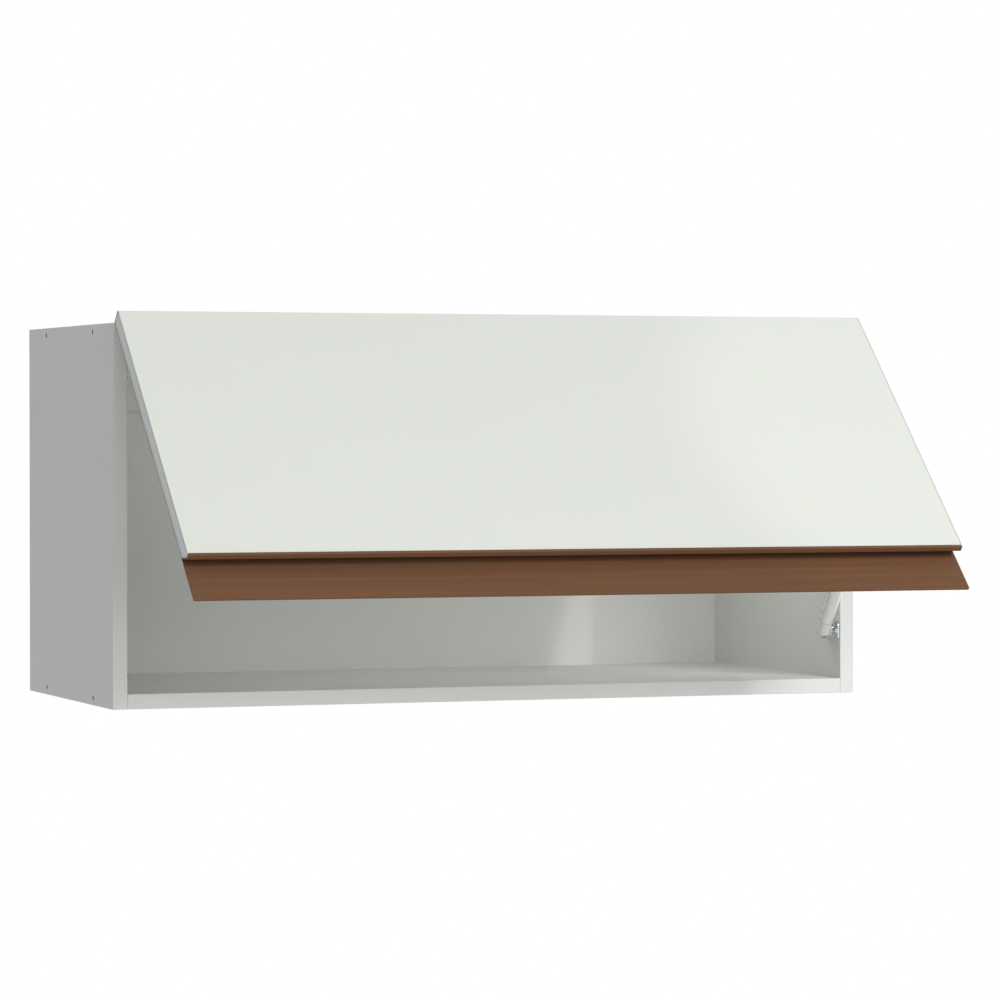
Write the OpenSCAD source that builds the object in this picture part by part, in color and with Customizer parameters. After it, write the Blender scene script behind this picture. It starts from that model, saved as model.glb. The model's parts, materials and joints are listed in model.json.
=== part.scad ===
// Wall cabinet with a flap that lifts up: a low, wide box of coated board,
// one flap hung on a continuous hinge along the top front edge, a metal
// finger-pull profile along the flap's bottom edge and one gas strut on the
// right-hand side. The flap is drawn fully open, on the strut's stop.
//
// X runs to the right, Y towards the wall and Z up. The origin is on the wall
// plane, midway between the two wall screws. All sizes are in millimetres.

/* [Carcass] */
// Outer width of the cabinet
body_w = 800; // [600:10:1000]
// Outer height of the cabinet
body_h = 380; // [370:5:440]
// Depth from the wall to the front edges of the boards
body_d = 335; // [300:5:380]
// Thickness of the carcass boards
board_t = 15; // [15:0.5:18]
// Thickness of the back, nailed behind the boards
back_t = 3; // [2.5:0.5:4]
// Distance from the outer faces of the boards to the edge of the back
back_inset = 1; // [0.5:0.5:3]
// Thickness of the edge bands
edge_t = 1; // [0.6:0.2:2]
// Height of the hanging rail
rail_h = 70; // [60:5:90]
// Distance between the two wall screw holes
wall_hole_pitch = 600; // [400:10:640]
// Diameter of the wall screw holes
wall_hole_d = 6; // [5:0.5:8]

/* [Carcass fasteners] */
// Distance of the side screws from the front and from the wall
screw_inset = 75; // [60:5:90]
// Length of the side screws
side_screw_len = 45; // [40:5:50]
// Diameter of the sunk heads of the side screws
side_screw_head_d = 5; // [4.5:0.5:6]
// Distance of the outer dowels from the front and from the wall
dowel_inset = 40; // [30:5:50]
// Diameter of the dowels
dowel_d = 8; // [6:1:8]
// Length of the dowels
dowel_len = 30; // [25:1:35]
// Greatest distance between two nails of the back
nail_pitch = 130; // [90:10:200]
// Length of the nails
nail_len = 18; // [15:1:25]

/* [Flap] */
// Thickness of the flap board
flap_t = 16; // [15:0.5:19]
// Distance from the flap's ends to the outer faces of the sides
side_reveal = 2; // [1:0.5:3]
// Distance from the closed flap to the top and bottom of the carcass
end_reveal = 1; // [0.5:0.5:2]
// Opening angle at which the strut stops the flap
open_angle = 46.4; // [40:0.2:47]
// Height of the rubber buffers
buffer_h = 3.3; // [2.8:0.1:3.3]
// Diameter of the rubber buffers
buffer_d = 9; // [7:0.5:10]
// Distance from the bottom edge of the flap board to the buffers
buffer_rise = 38; // [34:1:70]

/* [Finger-pull profile] */
// Distance from the flap board's bottom edge to the tip of the blade
pull_h = 43; // [36:1:50]
// Distance between the ends of the profile and the flap's ends
pull_inset = 0.5; // [0.3:0.1:1]
// Height of the nose's front face under the flap board
nose_h = 3.4; // [2.8:0.2:4.4]
// Depth of the nose's underside
nose_d = 5.4; // [4.8:0.2:6.4]
// Distance that the nose stands in front of the flap's face
nose_proud = 1; // [0.6:0.2:1.6]
// Thickness of the slanting web and of the screwed flange
web_t = 1.6; // [1.2:0.1:2]
// Thickness of the blade
blade_t = 2; // [1.6:0.1:2]
// Height of the flange behind the flap board
flange_h = 15; // [13:1:18]
// Greatest distance between two screws of the flange
pull_screw_pitch = 160; // [100:10:200]

/* [Continuous hinge] */
// Distance between the closed flap and the carcass, filled by the hinge
hinge_gap = 3.6; // [3.6:0.2:4.4]
// Diameter of the hinge pin
pin_d = 2; // [1.6:0.2:2]
// Least length of one knuckle and the play beside it
knuckle_pitch = 19; // [15:1:30]
// Play between two knuckles
knuckle_play = 0.4; // [0.3:0.1:0.6]
// Distance from the hinge's ends to the inner faces of the sides
hinge_end = 5; // [3:1:15]
// Greatest distance between two screws of a hinge leaf
hinge_screw_pitch = 100; // [80:5:150]

/* [Gas strut] */
// Distance of the lower ball behind the front of the carcass
side_ball_back = 17; // [15:1:19]
// Distance of the lower ball above the underside of the carcass
side_ball_rise = 64; // [58:1:68]
// Share of the lower ball's drop at which the upper one sits in the shut flap
flap_ball_share = 0.538; // [0.53:0.002:0.544]
// Distance of the upper ball behind the flap board
flap_ball_back = 14; // [13:0.5:15]
// Distance of both balls from the right side board
ball_inset = 12; // [11.5:0.5:14]
// Outer diameter of the pressure tube
tube_d = 15; // [14:0.5:16]
// Wall of the pressure tube
tube_wall = 1; // [0.8:0.1:1.4]
// Diameter of the rod
rod_d = 6; // [5:0.5:7]
// Diameter of the ball studs' balls
ball_d = 8; // [7:0.5:8]
// Outer diameter of the ball sockets
socket_d = 14; // [13.5:0.5:15]
// Distance from a ball's centre to the end of its socket
socket_len = 14; // [13:0.5:16]

/* [Hidden] */
$fn = 48;

// Clearances
fit = 0.05;          // radial play of pins, dowels and screws in their holes
seat = 0.3;          // gap between faces that move past each other
over = 1;            // length by which a cut runs past the face it opens

// Heights and planes of the carcass
roof_z = board_t + rail_h / 2;
floor_z = roof_z - body_h;
front_y = -body_d;
board_front_y = front_y + edge_t;
inner_w = body_w - 2 * board_t;
shelf_d = body_d - edge_t - back_t;
rail_z = roof_z - board_t - rail_h / 2;
end_zs = [floor_z + board_t / 2, roof_z - board_t / 2];
screw_ys = [front_y + screw_inset, -screw_inset];
dowel_ys = [front_y + dowel_inset, front_y / 2, -dowel_inset];
rail_dowel_zs = [rail_z - rail_h / 4, rail_z + rail_h / 4];
rail_dowel_y = -back_t - board_t / 2;

// Side screws and dowels
side_screw_d = 3.5;
side_screw_sink = 0.4;
side_screw_head_h = 2.4;
dowel_cover = 4;
dowel_depth = board_t - dowel_cover;
dowel_spare = 1;
dowel_chamfer = 0.8;

// Nails of the back
nail_d = 1.4;
nail_head_d = 3.2;
nail_head_h = 0.6;
nail_edge = board_t / 2;

// Hinge
sheet_t = 0.75;
knuckle_clear = 0.05;
knuckle_d = hinge_gap - 2 * knuckle_clear;
hinge_y = front_y - hinge_gap / 2;
hinge_z = roof_z - hinge_gap / 2;
leaf_margin = 0.6;
leaf_w = board_t - hinge_gap / 2 - leaf_margin;
hinge_len = inner_w - 2 * hinge_end;
knuckle_count = 2 * floor((hinge_len / knuckle_pitch - 1) / 2) + 1;
knuckle_step = (hinge_len + knuckle_play) / knuckle_count;
leaf_screw_low = 1;
leaf_screw_z = -leaf_w / 2 - leaf_screw_low;
leaf_screw_end = 15;
leaf_screw_xs = spread(hinge_len - 2 * leaf_screw_end, hinge_screw_pitch);
leaf_screw_d = 2.5;
leaf_screw_len = 12;
leaf_screw_head_d = 4.4;
leaf_screw_head_h = 0.8;

// Flap, closed
flap_w = body_w - 2 * side_reveal;
flap_top_z = roof_z - end_reveal;
flap_board_h = body_h - 2 * end_reveal - pull_h;
flap_bottom_z = flap_top_z - flap_board_h;
flap_back_y = front_y - hinge_gap;
flap_face_y = flap_back_y - flap_t;
buffer_x = (body_w - board_t) / 2;

// Finger-pull profile: its own plane has the flap board's lower front corner
// at its origin, first axis towards the wall and second axis up
blade_clear = 0.5;
web_foot = nose_d - nose_proud;
blade_back = flap_t + hinge_gap - blade_clear;
blade_face = blade_back - blade_t;
bevel_flat = web_foot + nose_h - web_t * sqrt(2);
bevel_rise = flap_t - bevel_flat;
pull_screw_share = 0.55;
pull_screw_z = bevel_rise + flange_h * pull_screw_share;
pull_screw_end = 40;
pull_screw_xs = spread(flap_w - 2 * pull_screw_end, pull_screw_pitch);
pull_screw_d = 3;
pull_screw_head_d = 5.6;
pull_screw_len = 12;

// Strut: both ball centres in the YZ plane, the flap closed and open
ball_x = inner_w / 2 - ball_inset;
side_ball = [front_y + side_ball_back, floor_z + side_ball_rise];
flap_ball_drop = flap_ball_share * (roof_z - side_ball[1]);
flap_ball_shut = [flap_back_y + flap_ball_back, flap_top_z - flap_ball_drop];
hinge_yz = [hinge_y, hinge_z];
flap_ball = hinge_yz + turned(flap_ball_shut - hinge_yz, -open_angle);
reach = flap_ball - side_ball;
strut_len = norm(reach);
strut_lean = atan2(-reach[0], reach[1]);
shut_len = norm(flap_ball_shut - side_ball);
stroke = strut_len - shut_len;

// Strut parts along the strut's own axis, measured from the lower ball
shut_gap = 2;
tube_end = shut_len - socket_len - shut_gap;
tube_bore_d = tube_d - 2 * tube_wall;
tube_floor = 2;
lip_t = 1.5;
seal_t = 2.5;
guide_t = 10;
piston_t = 5;
guide_top = tube_end - lip_t - seal_t;
piston_gap = 1;
piston_top = guide_top - guide_t - piston_gap;
lip_play = 0.6;
stud_d = 5;
socket_web = 2.4;    // solid between a ball and the stud or rod above it
stem_start = ball_d / 2 + socket_web;

// Ball studs and brackets
neck_d = 4.4;
flange_d = 9;
flange_t = 1.2;
plate_t = 2;
rivet_d = 4;
clip_t = 0.7;
clip_w = 3;
mouth_play = 1;
mouth_d = neck_d + 2 * mouth_play;
pole_flat = 0.25;
side_plate_size = [30, 20];
side_plate_r = 4;
side_plate_screw_y = 10.5;
tab_t = 1.8;
tab_gap = 1;
tab_w = 16;
tab_over = 7;
tab_x = inner_w / 2 - tab_gap;
foot_w = 24;
foot_h = 40;
foot_screw_x = 17;
foot_screw_z = 14;
bracket_screw_d = 3;
bracket_screw_head_d = 6;
bracket_screw_head_h = 1.6;
bracket_screw_len = 13;

// ---------------------------------------------------------------- helpers

// Point p of the YZ plane turned by an angle about +X
function turned(p, a) = [
    p[0] * cos(a) - p[1] * sin(a),
    p[0] * sin(a) + p[1] * cos(a),
];

// Evenly spread positions over a length, at most a pitch apart
function spread(length, pitch) =
    let (gaps = ceil(length / pitch))
    [for (i = [0 : gaps]) -length / 2 + i * length / gaps];

// Cylinder along +X from its base
module rod_x(d, h) {
    rotate([0, 90, 0]) cylinder(d = d, h = h);
}

// Cylinder along +Y from its base
module rod_y(d, h) {
    rotate([-90, 0, 0]) cylinder(d = d, h = h);
}

// Box from its centre in X, its front and its underside
module board(size, front, under) {
    translate([-size[0] / 2, front, under]) cube(size);
}

// Plane shape carried along X, its first axis on Y and its second on Z
module along_x(length) {
    rotate([90, 0, 90]) linear_extrude(length, center = true) children();
}

// Half of a disc, beside the second axis, with a small flat at its lower pole
module half_disc(d) {
    intersection() {
        circle(d = d);
        translate([0, pole_flat - d / 2]) square(d);
    }
}

// Moves a flap piece from its closed place to its open one
module swung_open() {
    translate([0, hinge_y, hinge_z])
        rotate([-open_angle, 0, 0])
            translate([0, -hinge_y, -hinge_z]) children();
}

// Stands a strut piece on the lower ball, its own +Z along the strut
module on_strut() {
    translate([ball_x, side_ball[0], side_ball[1]])
        rotate([strut_lean, 0, 0]) children();
}

// Cross-shaped driver recess, sunk from z = 0
module driver_recess(width, depth) {
    for (a = [0, 90])
        rotate(a) translate([-width / 2, -width / 8, -depth])
            cube([width, width / 4, depth + over]);
}

// Screw with a flat sunk head, its top at z = 0 and its shank along -Z
module sunk_screw(d, head_d, len) {
    head_h = (head_d - d) / 2;
    difference() {
        union() {
            translate([0, 0, -head_h]) cylinder(d1 = d, d2 = head_d, h = head_h);
            shank(d, head_h, len);
        }
        driver_recess(head_d * 0.55, head_h * 0.7);
    }
}

// Screw with a raised cylindrical head on z = 0 and its shank along -Z
module head_screw(d, head_d, head_h, len) {
    difference() {
        union() {
            cylinder(d1 = head_d, d2 = head_d * 0.72, h = head_h);
            shank(d, 0, len);
        }
        translate([0, 0, head_h]) driver_recess(head_d * 0.5, head_h * 0.6);
    }
}

// Screw shank with a pointed end, from a depth below z = 0 down to len
module shank(d, start, len) {
    translate([0, 0, -len + d]) cylinder(d = d, h = len - d - start);
    translate([0, 0, -len]) cylinder(d1 = d * 0.2, d2 = d, h = d);
}

// Hole for a screw shank, opened above z = 0
module shank_hole(d, len) {
    translate([0, 0, -len - fit])
        cylinder(d = d + 2 * fit, h = len + fit + over);
}

// ---------------------------------------------------------------- carcass

// Places its children at each side screw, +Z outwards from the side's face
module at_side_screws(side) {
    for (y = screw_ys, z = end_zs)
        translate([side * body_w / 2, y, z]) rotate([0, side * 90, 0])
            children();
}

module side_screw() {
    translate([0, 0, -side_screw_sink]) difference() {
        union() {
            translate([0, 0, -side_screw_head_h])
                cylinder(d = side_screw_head_d, h = side_screw_head_h);
            shank(side_screw_d, side_screw_head_h, side_screw_len);
        }
        driver_recess(side_screw_head_d * 0.6, side_screw_head_h * 0.6);
    }
}

module side_screw_hole() {
    head_depth = side_screw_sink + side_screw_head_h;
    translate([0, 0, -head_depth])
        cylinder(d = side_screw_head_d + 2 * fit, h = head_depth + over);
    shank_hole(side_screw_d, side_screw_sink + side_screw_len);
}

// Places its children at each dowel of one end, +Z out of the cabinet and
// z = 0 on the joint between the side and the board that it holds
module at_dowels(side) {
    for (y = dowel_ys, z = end_zs)
        translate([side * inner_w / 2, y, z]) rotate([0, side * 90, 0])
            children();
    for (z = rail_dowel_zs)
        translate([side * inner_w / 2, rail_dowel_y, z])
            rotate([0, side * 90, 0]) children();
}

module dowel() {
    body_len = dowel_len - 2 * dowel_chamfer;
    translate([0, 0, dowel_depth - dowel_len]) {
        cylinder(d1 = dowel_d - 2 * dowel_chamfer, d2 = dowel_d,
            h = dowel_chamfer);
        translate([0, 0, dowel_chamfer]) cylinder(d = dowel_d, h = body_len);
        translate([0, 0, dowel_chamfer + body_len])
            cylinder(d1 = dowel_d, d2 = dowel_d - 2 * dowel_chamfer,
                h = dowel_chamfer);
    }
}

module dowel_hole() {
    deep = dowel_len - dowel_depth + dowel_spare;
    translate([0, 0, -deep])
        cylinder(d = dowel_d + 2 * fit, h = deep + dowel_depth + fit);
}

// Places its children at each nail, +Z out of the back and z = 0 on its face
module at_nails() {
    nail_w = body_w - 2 * nail_edge;
    nail_h = body_h - 2 * nail_edge;
    middle_z = (roof_z + floor_z) / 2;
    for (x = spread(nail_w, nail_pitch), side = [-1, 1])
        translate([x, 0, middle_z + side * nail_h / 2])
            rotate([-90, 0, 0]) children();
    side_zs = spread(nail_h, nail_pitch);
    for (i = [1 : len(side_zs) - 2], side = [-1, 1])
        translate([side * nail_w / 2, 0, middle_z + side_zs[i]])
            rotate([-90, 0, 0]) children();
}

module nail() {
    translate([0, 0, -nail_head_h])
        cylinder(d = nail_head_d, h = nail_head_h);
    shank(nail_d, nail_head_h, nail_len);
}

module nail_hole() {
    translate([0, 0, -nail_head_h - fit])
        cylinder(d = nail_head_d + 2 * fit, h = nail_head_h + fit + over);
    shank_hole(nail_d, nail_len);
}

module side_board(side) {
    color("#dfe1dc") difference() {
        translate([side * (body_w - board_t) / 2, 0, 0])
            board([board_t, shelf_d, body_h], board_front_y, floor_z);
        at_side_screws(side) side_screw_hole();
        at_dowels(side) dowel_hole();
        at_nails() nail_hole();
        if (side > 0) at_side_bracket_screws() shank_hole(bracket_screw_d,
            bracket_screw_len);
    }
}

module left_side() {
    side_board(-1);
}

module right_side() {
    side_board(1);
}

// Board between the sides with its underside at a height
module cross_board(under) {
    color("#e4e5e0") difference() {
        board([inner_w, shelf_d, board_t], board_front_y, under);
        for (side = [-1, 1]) {
            at_side_screws(side) side_screw_hole();
            at_dowels(side) dowel_hole();
        }
        at_nails() nail_hole();
        at_carcass_leaf_screws() shank_hole(leaf_screw_d, leaf_screw_len);
    }
}

module top_panel() {
    cross_board(roof_z - board_t);
}

module bottom_panel() {
    cross_board(floor_z);
}

module wall_holes() {
    for (side = [-1, 1])
        translate([side * wall_hole_pitch / 2, -back_t - board_t - over, 0])
            rod_y(wall_hole_d, back_t + board_t + 2 * over);
}

module back_panel() {
    color("#e6e6e1") difference() {
        board([body_w - 2 * back_inset, back_t, body_h - 2 * back_inset],
            -back_t, floor_z + back_inset);
        at_nails() nail_hole();
        wall_holes();
    }
}

module hanging_rail() {
    color("#e4e5e0") difference() {
        board([inner_w, board_t, rail_h], -back_t - board_t,
            rail_z - rail_h / 2);
        for (side = [-1, 1]) at_dowels(side) dowel_hole();
        wall_holes();
    }
}

module carcass_edge_bands() {
    color("#e9eae5") {
        for (side = [-1, 1])
            translate([side * (body_w - board_t) / 2, 0, 0])
                board([board_t, edge_t, body_h], front_y, floor_z);
        board([inner_w, edge_t, board_t], front_y, floor_z);
        difference() {
            board([inner_w, edge_t, board_t], front_y, roof_z - board_t);
            at_carcass_leaf_screws() shank_hole(leaf_screw_d, leaf_screw_len);
        }
    }
}

module joint_dowels() {
    color("#c9a878") for (side = [-1, 1]) at_dowels(side) dowel();
}

module side_screws() {
    color("#5d6062") for (side = [-1, 1]) at_side_screws(side) side_screw();
}

module back_nails() {
    color("#8f9294") at_nails() nail();
}

// ------------------------------------------------------------------ hinge

// Places its children at each screw of the carcass leaf, +Z to the front
module at_carcass_leaf_screws() {
    for (x = leaf_screw_xs)
        translate([x, front_y - sheet_t, hinge_z + leaf_screw_z])
            rotate([90, 0, 0]) children();
}

// Places its children at each screw of the flap leaf, the flap closed, +Z
// away from the flap board
module at_flap_leaf_screws() {
    for (x = leaf_screw_xs)
        translate([x, flap_back_y + sheet_t, hinge_z + leaf_screw_z])
            rotate([-90, 0, 0]) children();
}

// Leaf with every other knuckle, its sheet on the +Y side of the pin
module leaf(first) {
    root_z = -hinge_gap / 2 - seat;
    sheet_y = hinge_gap / 2 - sheet_t;
    knuckle_len = knuckle_step - knuckle_play;
    difference() {
        union() {
            board([hinge_len, sheet_t, leaf_w + root_z], sheet_y, -leaf_w);
            for (i = [first : 2 : knuckle_count - 1])
                translate([-hinge_len / 2 + i * knuckle_step, 0, 0]) {
                    rod_x(knuckle_d, knuckle_len);
                    translate([0, sheet_y, root_z])
                        cube([knuckle_len, sheet_t, -root_z]);
                }
        }
        translate([-hinge_len / 2 - over, 0, 0])
            rod_x(pin_d + 2 * fit, hinge_len + 2 * over);
        for (x = leaf_screw_xs)
            translate([x, 0, leaf_screw_z])
                rod_y(leaf_screw_d + 2 * fit, hinge_gap);
    }
}

module hinge_carcass_leaf() {
    color("#b9bcbe") translate([0, hinge_y, hinge_z]) leaf(0);
}

module hinge_flap_leaf() {
    color("#b9bcbe") swung_open() translate([0, hinge_y, hinge_z])
        mirror([0, 1, 0]) leaf(1);
}

module hinge_pin() {
    color("#9b9fa2") translate([-hinge_len / 2, hinge_y, hinge_z])
        rod_x(pin_d, hinge_len);
}

module leaf_screw() {
    head_screw(leaf_screw_d, leaf_screw_head_d, leaf_screw_head_h,
        leaf_screw_len);
}

module hinge_carcass_screws() {
    color("#a9adb0") at_carcass_leaf_screws() leaf_screw();
}

module hinge_flap_screws() {
    color("#a9adb0") swung_open() at_flap_leaf_screws() leaf_screw();
}

// ------------------------------------------------------------------- flap

// Places its children at each screw of the profile, +Z out of the flap's back
module at_pull_screws() {
    for (x = pull_screw_xs)
        translate([x, flap_back_y + web_t, flap_bottom_z + pull_screw_z])
            rotate([-90, 0, 0]) children();
}

// Outline of the flap board, its rear lower edge bevelled for the profile's web
module flap_outline(height) {
    polygon([
        [0, 0], [bevel_flat, 0], [flap_t, bevel_rise], [flap_t, height],
        [0, height],
    ]);
}

module flap_panel() {
    color("#e2e5de") swung_open() difference() {
        translate([0, flap_face_y, flap_bottom_z])
            along_x(flap_w - 2 * edge_t) flap_outline(flap_board_h - edge_t);
        at_flap_leaf_screws() shank_hole(leaf_screw_d, leaf_screw_len);
        at_pull_screws() shank_hole(pull_screw_d, pull_screw_len);
        at_flap_bracket_screws() shank_hole(bracket_screw_d,
            bracket_screw_len);
    }
}

module flap_edge_bands() {
    color("#dfe2dc") swung_open() {
        for (side = [-1, 1])
            translate([side * (flap_w - edge_t) / 2, flap_face_y,
                flap_bottom_z]) along_x(edge_t) flap_outline(flap_board_h);
        board([flap_w - 2 * edge_t, flap_t, edge_t], flap_face_y,
            flap_top_z - edge_t);
    }
}

// Height of the web's underside at a depth behind the flap's face
function web_under(depth) = depth - web_foot - nose_h;

// Outline of the whole extrusion: nose, web, flange and blade
module pull_outline() {
    flange_back = flap_t + web_t;
    crown = web_under(blade_back);
    polygon([
        [-nose_proud, 0],
        [-nose_proud, -nose_h],
        [web_foot, -nose_h],
        [blade_face, web_under(blade_face)],
        [blade_face, -pull_h],
        [blade_back, -pull_h],
        [blade_back, crown],
        [flange_back, crown + blade_back - flange_back],
        [flange_back, bevel_rise + flange_h],
        [flap_t, bevel_rise + flange_h],
        [flap_t, bevel_rise],
        [bevel_flat, 0],
    ]);
}

module pull_profile() {
    color("#71513b") swung_open() difference() {
        translate([0, flap_face_y, flap_bottom_z])
            along_x(flap_w - 2 * pull_inset) pull_outline();
        at_pull_screws() {
            shank_hole(pull_screw_d, pull_screw_len);
            sink = (pull_screw_head_d - pull_screw_d) / 2;
            translate([0, 0, -sink]) cylinder(d1 = pull_screw_d + 2 * fit,
                d2 = pull_screw_head_d + 2 * fit, h = sink);
        }
    }
}

module pull_screws() {
    color("#8a6a52") swung_open() at_pull_screws()
        sunk_screw(pull_screw_d, pull_screw_head_d, pull_screw_len);
}

module flap_buffers() {
    dome_h = 0.8;
    dome_r = 1.5;
    color("#d4d6d2") swung_open() for (side = [-1, 1])
        translate([side * buffer_x, flap_back_y, flap_bottom_z + buffer_rise])
            rotate([-90, 0, 0]) {
                cylinder(d = buffer_d, h = buffer_h - dome_h);
                translate([0, 0, buffer_h - dome_h])
                    cylinder(d1 = buffer_d, d2 = buffer_d - 2 * dome_r, h = dome_h);
            }
}

// ------------------------------------------------------- strut's brackets

// Places its children at each screw of the side's bracket, +Z into the cabinet
module at_side_bracket_screws() {
    for (side = [-1, 1])
        translate([inner_w / 2 - plate_t,
            side_ball[0] + side * side_plate_screw_y, side_ball[1]])
            rotate([0, -90, 0]) children();
}

// Places its children at each screw of the flap's bracket, the flap closed,
// +Z away from the flap board
module at_flap_bracket_screws() {
    for (side = [-1, 1])
        translate([tab_x - foot_screw_x, flap_back_y + plate_t,
            flap_ball_shut[1] + side * foot_screw_z])
            rotate([-90, 0, 0]) children();
}

// Outline of the side's plate, a rectangle with rounded corners
module side_plate_outline() {
    inner = side_plate_size - [2, 2] * side_plate_r;
    square([side_plate_size[0], inner[1]], center = true);
    square([inner[0], side_plate_size[1]], center = true);
    for (y = [-1, 1], z = [-1, 1])
        translate([y * inner[0] / 2, z * inner[1] / 2])
            circle(r = side_plate_r);
}

module side_bracket() {
    plate_x = inner_w / 2 - plate_t;
    color("#c3c7c8") difference() {
        translate([plate_x + plate_t / 2, side_ball[0], side_ball[1]])
            along_x(plate_t) side_plate_outline();
        at_side_bracket_screws() shank_hole(bracket_screw_d,
            bracket_screw_len);
        translate([plate_x - over, side_ball[0], side_ball[1]])
            rod_x(rivet_d + 2 * fit, plate_t + 2 * over);
    }
}

module bracket_screw() {
    head_screw(bracket_screw_d, bracket_screw_head_d, bracket_screw_head_h,
        bracket_screw_len);
}

module side_bracket_screws() {
    color("#d7dadb") at_side_bracket_screws() bracket_screw();
}

// Turned stud: ball on the origin, then its neck along +X, its flange up to
// a distance and its rivet past that
module ball_stud(reach_x, rivet_len) {
    rotate([0, 90, 0]) rotate_extrude() {
        half_disc(ball_d);
        square([neck_d / 2, reach_x]);
        translate([0, reach_x - flange_t]) square([flange_d / 2, flange_t]);
        translate([0, reach_x - flange_t / 2])
            square([rivet_d / 2, rivet_len + flange_t / 2]);
    }
}

module side_ball_stud() {
    color("#e3e6e7") translate([ball_x, side_ball[0], side_ball[1]])
        ball_stud(ball_inset - plate_t, plate_t - fit);
}

module flap_bracket() {
    tab_reach = flap_ball_back + tab_over;
    foot_x = tab_x - foot_w;
    color("#c3c7c8") swung_open() difference() {
        union() {
            translate([foot_x, flap_back_y, flap_ball_shut[1] - foot_h / 2])
                cube([foot_w, plate_t, foot_h]);
            translate([tab_x - tab_t, flap_back_y,
                flap_ball_shut[1] - tab_w / 2])
                cube([tab_t, tab_reach - tab_w / 2, tab_w]);
            translate([tab_x - tab_t, flap_back_y + tab_reach - tab_w / 2,
                flap_ball_shut[1]]) rod_x(tab_w, tab_t);
        }
        at_flap_bracket_screws() shank_hole(bracket_screw_d,
            bracket_screw_len);
    }
}

module flap_bracket_screws() {
    color("#d7dadb") swung_open() at_flap_bracket_screws() bracket_screw();
}

module flap_ball_stud() {
    color("#e3e6e7") on_strut() translate([0, 0, strut_len])
        ball_stud(tab_x - tab_t - seat - ball_x, 0);
}

// ------------------------------------------------------------------ strut

// Round-ended socket of a ball on the origin, open towards +X and bored along
// +Z for a stud of a given diameter
module ball_socket(stud) {
    head_front = 5.5;
    difference() {
        rotate_extrude() {
            half_disc(socket_d);
            square([socket_d / 2, socket_len]);
        }
        rotate([0, 90, 0]) rotate_extrude() {
            half_disc(ball_d + 2 * fit);
            square([mouth_d / 2, head_front + over]);
        }
        translate([head_front, -socket_d, -socket_d])
            cube([socket_d, 2 * socket_d, 2 * socket_d + socket_len]);
        translate([0, 0, stem_start])
            cylinder(d = stud + 2 * fit, h = socket_len);
    }
}

// Spring clip round the lower half of a socket's head
module socket_clip() {
    opening = 190;
    rotate([0, -90, 0]) rotate(opening / 2)
        rotate_extrude(angle = 360 - opening)
            translate([socket_d / 2 + fit, -clip_w / 2])
                square([clip_t, clip_w]);
}

module tube_socket() {
    color("#b7bbb8") on_strut() ball_socket(stud_d);
}

module tube_clip() {
    color("#8f9496") on_strut() socket_clip();
}

module strut_tube() {
    stud_start = stem_start + fit;
    color("#cfd2cf") on_strut() {
        difference() {
            translate([0, 0, socket_len])
                cylinder(d = tube_d, h = tube_end - socket_len);
            translate([0, 0, socket_len + tube_floor])
                cylinder(d = tube_bore_d,
                    h = tube_end - lip_t - socket_len - tube_floor);
            translate([0, 0, tube_end - lip_t - over])
                cylinder(d = rod_d + 2 * lip_play, h = lip_t + 2 * over);
        }
        translate([0, 0, stud_start])
            cylinder(d = stud_d, h = socket_len - stud_start + tube_floor / 2);
    }
}

// Ring inside the pressure tube round the rod
module tube_ring(bottom, height) {
    translate([0, 0, bottom]) difference() {
        cylinder(d = tube_bore_d - 2 * fit, h = height);
        translate([0, 0, -over])
            cylinder(d = rod_d + 2 * fit, h = height + 2 * over);
    }
}

module strut_guide() {
    color("#b59a4f") on_strut() tube_ring(guide_top - guide_t, guide_t);
}

module strut_seal() {
    color("#26282a") on_strut() tube_ring(guide_top, seal_t);
}

module strut_rod() {
    rod_start = piston_top - piston_t;
    rod_stop = strut_len - stem_start - fit;
    color("#d9dcde") on_strut() translate([0, 0, rod_start])
        cylinder(d = rod_d, h = rod_stop - rod_start);
}

module strut_piston() {
    color("#4a4d4f") on_strut() tube_ring(piston_top - piston_t, piston_t);
}

module rod_socket() {
    color("#b7bbb8") on_strut() translate([0, 0, strut_len])
        mirror([0, 0, 1]) ball_socket(rod_d);
}

module rod_clip() {
    color("#8f9496") on_strut() translate([0, 0, strut_len])
        mirror([0, 0, 1]) socket_clip();
}

// --------------------------------------------------------------- assembly

left_side();
right_side();
top_panel();
bottom_panel();
back_panel();
hanging_rail();
carcass_edge_bands();
joint_dowels();
side_screws();
back_nails();
flap_panel();
flap_edge_bands();
pull_profile();
pull_screws();
flap_buffers();
hinge_carcass_leaf();
hinge_flap_leaf();
hinge_pin();
hinge_carcass_screws();
hinge_flap_screws();
side_bracket();
side_bracket_screws();
side_ball_stud();
flap_bracket();
flap_bracket_screws();
flap_ball_stud();
strut_tube();
strut_guide();
strut_seal();
tube_socket();
tube_clip();
strut_rod();
strut_piston();
rod_socket();
rod_clip();
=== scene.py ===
"""Looks of a wall cabinet with a flap that lifts up.

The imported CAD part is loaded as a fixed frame. Around it, this script makes
the pieces whose form shows up close (the carcass's edge bands, the flap's
board and bands, the finger-pull extrusion and the strut's pressure tube) as
surfaces worked out with numpy, and gives every visible surface its finish.
The object's lengths are in millimetres until a mesh is made, which is in
metres. The studio's lengths are in metres throughout.
"""

import json
import logging
import math
from collections.abc import Callable
from dataclasses import dataclass
from enum import Enum

import bmesh
import bpy
import numpy as np
from mathutils import Matrix, Vector

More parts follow.
